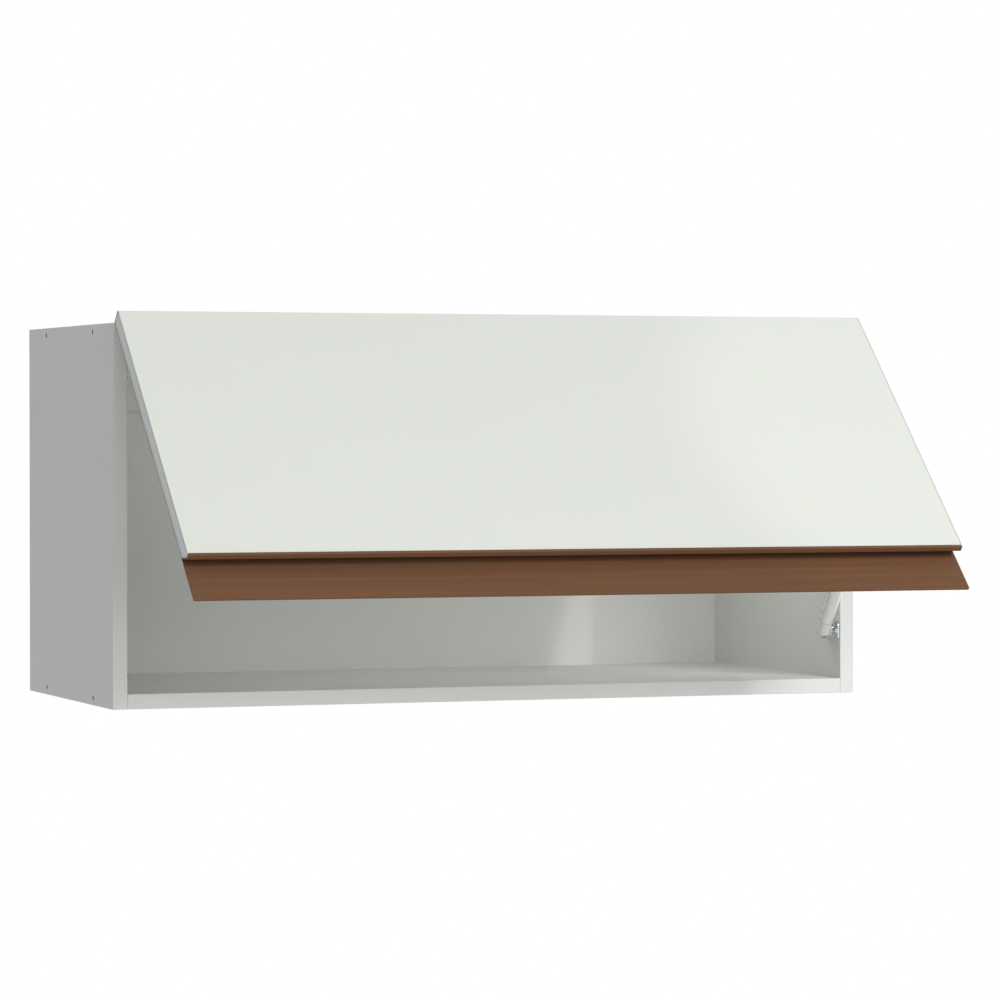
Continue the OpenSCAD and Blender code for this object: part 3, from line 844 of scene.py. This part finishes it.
def make_piece(name: str, shells: list[Shell], finish: Finish,
               body: str) -> bpy.types.Object:
    """Makes one object from closed shells and puts it on a body.

    Points that coincide become one, and the shells' normals stay on the rest.

    Args:
        name: Name of the piece.
        shells: Its shells, in millimetres in the row frame.
        finish: Its finish.
        body: The CAD body that it rides on.

    Returns:
        The object.
    """
    starts = np.cumsum([0] + [len(s.points) for s in shells])
    faces = [face for s, start in zip(shells, starts)
             for face in s.faces(start)]
    mesh = bpy.data.meshes.new(name)
    mesh.from_pydata((np.concatenate([s.points for s in shells]) * MM)
                     .tolist(), [], faces)
    normals = np.concatenate([s.normals for s in shells])
    mesh.attributes.new("way", "FLOAT_VECTOR", "POINT").data.foreach_set(
        "vector", normals.ravel())
    merged = bmesh.new()
    merged.from_mesh(mesh)
    bmesh.ops.remove_doubles(merged, verts=merged.verts, dist=WELD)
    bmesh.ops.dissolve_degenerate(merged, edges=merged.edges, dist=SLIVER)
    merged.to_mesh(mesh)
    merged.free()
    kept = np.empty(len(mesh.vertices) * 3, np.float32)
    mesh.attributes["way"].data.foreach_get("vector", kept)
    mesh.attributes.remove(mesh.attributes["way"])
    mesh.shade_smooth()
    mesh.normals_split_custom_set_from_vertices(kept.reshape(-1, 3).tolist())
    mesh.materials.append(finish.material())
    made = put(name, mesh)
    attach(made, body)
    LOG.info("%s: %d faces on %s", name, len(mesh.polygons), body)
    return made


def node_box(node: str) -> tuple[Array, Array]:
    """Lowest and highest corner of a CAD node, in millimetres."""
    low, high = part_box(node)
    return np.array(low) / MM, np.array(high) / MM


# ---- motion


@dataclass(frozen=True)
class Hinge:
    """The flap's hinge.

    Attributes:
        y: Depth of the turning line, in millimetres.
        z: Its height.
        angle: Angle in radians between the closed flap and the open one.
    """

    y: float
    z: float
    angle: float

    def swing(self, points: Array, normals: Array) -> tuple[Array, Array]:
        """Turns a closed flap's points and normals to the open place.

        Args:
            points: Points, one to a row.
            normals: Their unit normals.

        Returns:
            Both, turned about the hinge's line.
        """
        turn = np.array([[1, 0, 0],
                         [0, math.cos(self.angle), math.sin(self.angle)],
                         [0, -math.sin(self.angle), math.cos(self.angle)]])
        centre = np.array([0, self.y, self.z])
        return (points - centre) @ turn.T + centre, normals @ turn.T


@dataclass(frozen=True)
class StrutLine:
    """The strut's axis at rest.

    Attributes:
        ball: Centre of the lower ball, in millimetres.
        axis: Unit direction from there to the upper ball.
    """

    ball: Array
    axis: Array


def read_motion(frame: dict) -> tuple[Hinge, StrutLine]:
    """Reads the hinge and the strut's line from the frame's joints.


    Returns:
        The hinge and the strut's line.
    """
    joints = {j["name"]: j for j in frame["joints"]}
    flap = joints["flap_hinge"]
    hinge = Hinge(flap["pos_m"][1] / MM, flap["pos_m"][2] / MM,
                  math.radians(flap["range_deg"][1]))
    ball = np.array(joints["strut_swing"]["pos_m"]) / MM
    axis = np.array(joints["strut_slide"]["axis"], float)
    axis /= np.linalg.norm(axis)
    return hinge, StrutLine(ball, axis)


# ---- sub-assemblies


@dataclass
class Carcass:
    """The box: its boards keep their CAD form, its edge bands are eased.

    Attributes:
        board: Thickness of the boards, and so the width of their bands.
        ease: Radius of the bands' front edges.
    """

    board: float = 15.0
    ease: float = 0.8

    def build(self) -> None:
        """Makes the four edge bands as strips with rounded long edges."""
        low, high = node_box("carcass_edge_bands")
        left, right = low[0] + self.board, high[0] - self.board
        under, over = low[2] + self.board, high[2] - self.board
        strips = ((low[0], left, low[2], high[2]),
                  (right, high[0], low[2], high[2]),
                  (left, right, low[2], under),
                  (left, right, over, high[2]))
        shells = [self.strip(np.array([x0, low[1], z0]),
                             np.array([x1, high[1], z1]))
                  for x0, x1, z0, z1 in strips]
        bands = make_piece("edge_bands", shells, BAND, "carcass")
        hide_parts("carcass_edge_bands")

    def strip(self, low: Array, high: Array) -> Shell:
        """A band whose front edges are rounded and whose back is flat.

        It is an eased box, longer at the back by the ease, whose points are
        then held before the back plane.

        Args:
            low: Lowest corner.
            high: Highest corner.

        Returns:
            The closed shell.
        """
        shell = eased_box(low, high + [0, self.ease, 0], self.ease)
        shell.points[:, 1] = np.minimum(shell.points[:, 1], high[1])
        return shell


@dataclass
class Flap:
    """The flap, drawn closed and swung open: board, bands and finger pull.

    Sections are in depth behind the face and height above the board's lower
    front corner.

    Attributes:
        hinge: The hinge that it turns on.
        thick: Thickness of the board.
        band: Thickness of its edge bands.
        gap: Depth between the closed board's back and the hinge's line,
            half of the gap to the carcass.
        drop: Height of the board's top edge over the hinge's line.
        board_height: Height of the board.
        ease: Radius of the banded edges.
        low_ease: Radius of the bare board's lower edges.
        nose_height: Height of the pull's nose.
        nose_depth: Depth of the nose.
        nose_proud: How far the nose stands before the face.
        web: Thickness of the pull's slanting web and flange.
        blade: Thickness of the pull's blade.
        height: Height of the blade's lower edge under the board.
        flange: Height of the flange on the board's back.
        clear: Gap between the closed pull's blade and the carcass's front.
        end_gap: How far the pull stops short of the board's ends.
        cut_ease: Radius of the pull's cut ends.
        tip_share: Lower share of the height that is lifted at the corners.
        tip_corner: Radius of the blade's lower corners.
    """

    hinge: Hinge
    thick: float = 16.0
    band: float = 1.0
    gap: float = 1.8
    drop: float = 0.8
    board_height: float = 335.0
    ease: float = 0.45
    low_ease: float = 0.3
    nose_height: float = 3.4
    nose_depth: float = 5.4
    nose_proud: float = 1.0
    web: float = 1.6
    blade: float = 2.0
    height: float = 43.0
    flange: float = 15.0
    clear: float = 0.5
    end_gap: float = 0.5
    cut_ease: float = 0.2
    tip_share: float = 0.4
    tip_corner: float = 1.6

    @property
    def foot(self) -> float:
        """Depth at which the web leaves the nose."""
        return self.nose_depth - self.nose_proud

    @property
    def bevel(self) -> float:
        """Depth of the board's flat lower edge, up to its bevel."""
        return self.foot + self.nose_height - self.web * math.sqrt(2)

    @property
    def rise(self) -> float:
        """Height of the bevel at the board's back."""
        return self.thick - self.bevel

    def build(self) -> None:
        """Makes the board, its bands and the finger pull."""
        half = node_box("flap_edge_bands")[1][0]
        self.build_board(half - self.band)
        self.build_bands(half - self.band, half)
        self.build_pull(half - self.end_gap)

    def build_board(self, inner: float) -> None:
        """Makes the bare board, from -inner to inner along X."""
        section = self.board_section(self.board_height - self.band,
                                     self.low_ease, SKIN)
        panel = make_piece("flap_front", [self.hung(
            section, -inner, inner, (SKIN, SKIN))], FRONT, "flap")
        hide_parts("flap_panel")

    def build_bands(self, inner: float, half: float) -> None:
        """Makes the bands of the two ends and of the top edge.

        Args:
            inner: X of the right end's band, where it meets the board.
            half: X of its outer face.
        """
        side = self.board_section(self.board_height, self.ease, self.ease)
        under = self.board_height - self.band
        strip = rounded_outline(
            [(0, under, SKIN), (0, self.board_height, self.ease),
             (self.thick, self.board_height, self.ease),
             (self.thick, under, SKIN)])
        bands = make_piece("flap_bands", [
            self.hung(side, -half, -inner, (self.ease, SKIN)),
            self.hung(side, inner, half, (SKIN, self.ease)),
            self.hung(strip, -inner, inner, (SKIN, SKIN))],
            FRONT_BAND, "flap")
        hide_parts("flap_edge_bands")

    def build_pull(self, end: float) -> None:
        """Makes the finger pull, from -end to end along X."""
        line = self.pull_section()
        upper = self.height * (1 - self.tip_share)
        tip = np.clip((-line[:, 1] - upper) / (self.height * self.tip_share),
                      0, 1)
        pull = make_piece("finger_pull", [self.hung(
            line, -end, end, (self.cut_ease, self.cut_ease), tip,
            self.tip_corner)], BRONZE, "flap")
        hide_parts("pull_profile")

    def hung(self, line: Array, low: float, high: float,
             eases: tuple[float, float], tip: Array | None = None,
             tip_corner: float = 0.0) -> Shell:
        """Carries a section along X where the flap is closed and opens it.

        Args:
            line: The section, from the board's lower front corner.
            low, high, eases, tip, tip_corner: As carried() has them.

        Returns:
            The shell in the open flap's place.
        """
        spot = line + [self.hinge.y - self.gap - self.thick,
                       self.hinge.z + self.drop - self.board_height]
        return carried(spot, low, high, eases, tip,
                       tip_corner).moved(self.hinge.swing)

    def board_section(self, height: float, low: float, high: float) -> Array:
        """Section of the board with its bevelled lower edge.

        Args:
            height: Height of the section.
            low: Radius of the edges at the bottom.
            high: Radius of the edges at the top.

        Returns:
            The closed line.
        """
        return rounded_outline(
            [(0, 0, low), (0, height, high), (self.thick, height, high),
             (self.thick, self.rise, low), (self.bevel, 0, low)])

    def pull_section(self) -> Array:
        """Section of the finger pull: nose, slanting web, flange, blade.

        The web's front face is the line where height is depth plus slant.
        The flange comes down to the blade at 45 degrees the other way.

        Returns:
            The closed line.
        """
        rear = self.thick + 2 * self.gap - self.clear
        front = rear - self.blade
        back = self.thick + self.web
        slant = -self.foot - self.nose_height
        crown = self.rise + self.flange
        return rounded_outline(
            [(-self.nose_proud, -self.nose_height, 0.3),
             (-self.nose_proud, 0, 0.3), (self.bevel, 0, 0.25),
             (self.thick, self.rise, 0.25), (self.thick, crown, 0.3),
             (back, crown, 0.4), (back, 2 * rear - back + slant, 0.5),
             (rear, rear + slant, 0.8), (rear, -self.height, 0.25),
             (front, -self.height, 0.25), (front, front + slant, 0.2),
             (self.foot, -self.nose_height, 0.4)])


@dataclass
class Strut:
    """The gas strut's tube, drawn with its rounded foot and rolled mouth.

    Attributes:
        line: The strut's axis.
        tube_d: Outer diameter of the tube.
        rod_d: Diameter of the rod.
        rod_play: Gap between the rod and the rolled mouth.
        stud_radius: Radius of the stud that holds the lower socket.
        stud_low: Height of the stud's end over the lower ball.
        foot: Height of the tube's foot over the lower ball.
        crimp: Distance from the mouth to the middle of the crimped groove.
        crimp_half: Half the groove's width.
        crimp_deep: Depth of the groove.
        lip: Thickness of the rolled mouth.
    """

    line: StrutLine
    tube_d: float = 15.0
    rod_d: float = 6.0
    rod_play: float = 0.6
    stud_radius: float = 2.45
    stud_low: float = 6.5
    foot: float = 13.9
    crimp: float = 15.0
    crimp_half: float = 1.0
    crimp_deep: float = 0.7
    lip: float = 1.5

    def build(self) -> None:
        """Makes the pressure tube."""
        body = make_piece("pressure_tube", [self.tube()], TUBE,
                          "strut_barrel")
        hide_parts("strut_tube")

    def tube(self) -> Shell:
        """The tube: foot, wall, groove of the crimp and rolled mouth."""
        end = self.mouth()
        outer = self.tube_d / 2
        bore = self.rod_d / 2 + self.rod_play
        groove = end - self.crimp
        profile = dense(rounded_path([
            (0, self.stud_low, 0), (self.stud_radius, self.stud_low, 0.2),
            (self.stud_radius, self.foot, 0.3), (outer, self.foot, 1.2),
            (outer, groove - self.crimp_half, 0.8),
            (outer - self.crimp_deep, groove, 0.8),
            (outer, groove + self.crimp_half, 0.8),
            (outer, end, 1.6), (bore, end, 0.3),
            (bore, end - self.lip, 0), (0, end - self.lip, 0)]))
        return turned(profile, self.line.ball, self.line.axis, 64)

    def mouth(self) -> float:
        """Distance from the lower ball to the tube's upper end.

        The leaning tube's highest point lies its radius times the sine of
        the lean above the axis, whose height is the distance times the
        cosine.
        """
        high = node_box("strut_tube")[1]
        across = self.tube_d / 2
        lean = math.asin(abs(self.line.axis[1]))
        top = high[2] - self.line.ball[2] - across * math.sin(lean)
        return top / math.cos(lean)


# ---- studio


@dataclass(frozen=True)
class Lamp:
    """Area lamp or spot that looks at a target from a turn and a rise.

    Attributes:
        name: Name of the lamp.
        watts: Its power.
        turn: Angle in degrees by which it stands to the right of the front.
        rise: Angle in degrees by which it stands above the target.
        size: Diameter in metres.
        distance: Metres to the target.
        target: The place it looks at, in metres.
        cone: Opening in degrees of a spot, 0 for an area lamp.
        flat: Height of an area lamp as a share of its size.
        colour: Colour of its light.
    """

    name: str
    watts: float
    turn: float
    rise: float
    size: float = 2.0
    distance: float = 4.0
    target: Place = (0.0, -0.35, -0.12)
    cone: float = 0.0
    flat: float = 1.0
    colour: Colour = (1.0, 0.995, 0.97)

    def build(self) -> None:
        """Makes the lamp, which the camera doesn't see."""
        turn, rise = math.radians(self.turn), math.radians(self.rise)
        way = Vector((math.sin(turn) * math.cos(rise),
                      -math.cos(turn) * math.cos(rise), math.sin(rise)))
        lamp = bpy.data.lights.new(self.name,
                                   "SPOT" if self.cone else "AREA")
        if self.cone:
            lamp.spot_size = math.radians(self.cone)
            lamp.spot_blend = 1.0
            lamp.shadow_soft_size = self.size / 2
        else:
            lamp.shape = "ELLIPSE"
            lamp.size, lamp.size_y = self.size, self.size * self.flat
        lamp.energy = self.watts
        lamp.color = self.colour
        made = put(self.name, lamp)
        made.visible_camera = False
        made.location = Vector(self.target) + way * self.distance
        made.rotation_euler = (-way).to_track_quat("-Z", "Y").to_euler()


LAMPS = (
    Lamp("key", watts=256.0, turn=21.0, rise=24.0, size=2.4, distance=8.0),
    Lamp("front_fill", watts=33.0, turn=0.0, rise=8.0),
    Lamp("left_fill", watts=9.0, turn=-25.0, rise=6.0),
    Lamp("top_fill", watts=13.0, turn=10.0, rise=65.0),
    Lamp("inner_fill", watts=0.22, turn=0.0, rise=45.0, size=0.6,
         distance=0.33, target=(0.0, -0.05, -0.25), flat=0.15),
    Lamp("right_inner_fill", watts=0.15, turn=-20.0, rise=55.0, size=0.16,
         distance=0.30, target=(0.33, -0.12, -0.30), flat=0.5),
    Lamp("past_the_flap", watts=1700.0, turn=24.0, rise=24.0, size=0.5,
         distance=4.0, target=(0.215, 0.0, -0.310), cone=2.0),
)


@dataclass
class Studio:
    """Floor, surroundings, lamps and camera, in metres.

    Attributes:
        floor_x: Left and right end of the floor.
        floor_y: Its front and rear end.
        floor_z: Its height.
        floor_points: Points of its grid along each side.
        floor_dark: Darkest colour of the floor.
        floor_light: Lightest colour of the floor.
        ambient: Strength of the surroundings' light.
        ambient_colour: Its colour.
        eye: Place of the camera.
        yaw: Angle in degrees by which it looks to the right of +Y.
        pitch: Angle in degrees by which it looks up.
        focal_px: Focal length in pixels of the photograph.
        frame_px: Width of the photograph in pixels.
        sensor: Width of the sensor in millimetres.
        near: Distance at which the camera starts to see.
    """

    floor_x: tuple[float, float] = (-2.6, 1.5)
    floor_y: tuple[float, float] = (-3.2, 1.4)
    floor_z: float = -1.05
    floor_points: int = 12
    floor_dark: Colour = (0.80, 0.80, 0.79)
    floor_light: Colour = (0.83, 0.83, 0.82)
    ambient: float = 0.33
    ambient_colour: Colour = (0.97, 1.0, 1.03)
    eye: Place = (-1.5058, -4.4081, -0.0510)
    yaw: float = 20.358
    pitch: float = -0.993
    focal_px: float = 4284.0
    frame_px: float = 1000.0
    sensor: float = 36.0
    near: float = 0.05

    def build(self) -> None:
        """Makes everything round the object."""
        self.surroundings()
        self.floor()
        for lamp in LAMPS:
            lamp.build()
        self.camera()
        bpy.context.scene.view_settings.view_transform = "Standard"

    def surroundings(self) -> None:
        """World that lights softly and shows white to the camera."""
        world = bpy.data.worlds.new("surroundings")
        bpy.context.scene.world = world
        world.use_nodes = True
        graph = Graph(world.node_tree)
        path = "ShaderNodeLightPath"
        seen = (graph.node(path, out="Is Camera Ray")
                + graph.node(path, out="Is Glossy Ray")
                + graph.node(path, out="Is Transmission Ray")) > 0.5
        soft = graph.node("ShaderNodeBackground", None,
                          {"Color": rgba(self.ambient_colour),
                           "Strength": self.ambient})
        white = graph.node("ShaderNodeBackground", None,
                           {"Color": (1, 1, 1, 1), "Strength": 1.0})
        mixed = graph.node("ShaderNodeMixShader", None,
                           {0: seen, 1: soft, 2: white})
        graph.node("ShaderNodeOutputWorld", None, {"Surface": mixed})

    def floor(self) -> None:
        """Pale floor well below the cabinet, just out of the camera's view."""
        count = self.floor_points
        across, along = np.meshgrid(np.linspace(*self.floor_x, count),
                                    np.linspace(*self.floor_y, count),
                                    indexing="ij")
        spots = np.stack([across, along,
                          np.full_like(across, self.floor_z)], axis=-1)
        faces = grid_faces(count, count, closed=False)[:, ::-1]
        mesh = bpy.data.meshes.new("floor")
        mesh.from_pydata(spots.reshape(-1, 3).tolist(), [], faces.tolist())
        material = bpy.data.materials.new("floor")
        material.use_nodes = True
        graph = Graph(material.node_tree)
        cloud = graph.noise(graph.place(), scale=3.0)
        colour = graph.blend(cloud, self.floor_dark, self.floor_light)
        graph.surface({"Base Color": colour, "Roughness": 0.8})
        mesh.materials.append(material)
        put("floor", mesh)

    def camera(self) -> None:
        """Camera at the photograph's place, looking along its direction."""
        yaw, pitch = math.radians(self.yaw), math.radians(self.pitch)
        ahead = Vector((math.sin(yaw) * math.cos(pitch),
                        math.cos(yaw) * math.cos(pitch), math.sin(pitch)))
        right = Vector((math.cos(yaw), -math.sin(yaw), 0.0))
        up = right.cross(ahead)
        made = put("camera", bpy.data.cameras.new("camera"))
        made.matrix_world = Matrix.Translation(self.eye) @ Matrix(
            (right, up, -ahead)).transposed().to_4x4()
        made.data.sensor_width = self.sensor
        made.data.lens = self.focal_px / self.frame_px * self.sensor
        made.data.clip_start = self.near
        bpy.context.scene.camera = made


def dress(frame: dict) -> None:
    """Gives every CAD node its finish.
    """
    for name, node in frame["nodes"].items():
        material = NODE_FINISHES[name].material()
        if not node.material_slots:
            node.data.materials.append(material)
        for slot in node.material_slots:
            slot.material = material
        LOG.info("%s: %s", name, material.name)


def main() -> None:
    """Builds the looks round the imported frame."""
    logging.basicConfig(level=logging.INFO, format="%(name)s: %(message)s")
    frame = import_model()
    hinge, line = read_motion(frame)
    dress(frame)
    Carcass().build()
    Flap(hinge).build()
    Strut(line).build()
    Studio().build()


if __name__ == "__main__":
    main()
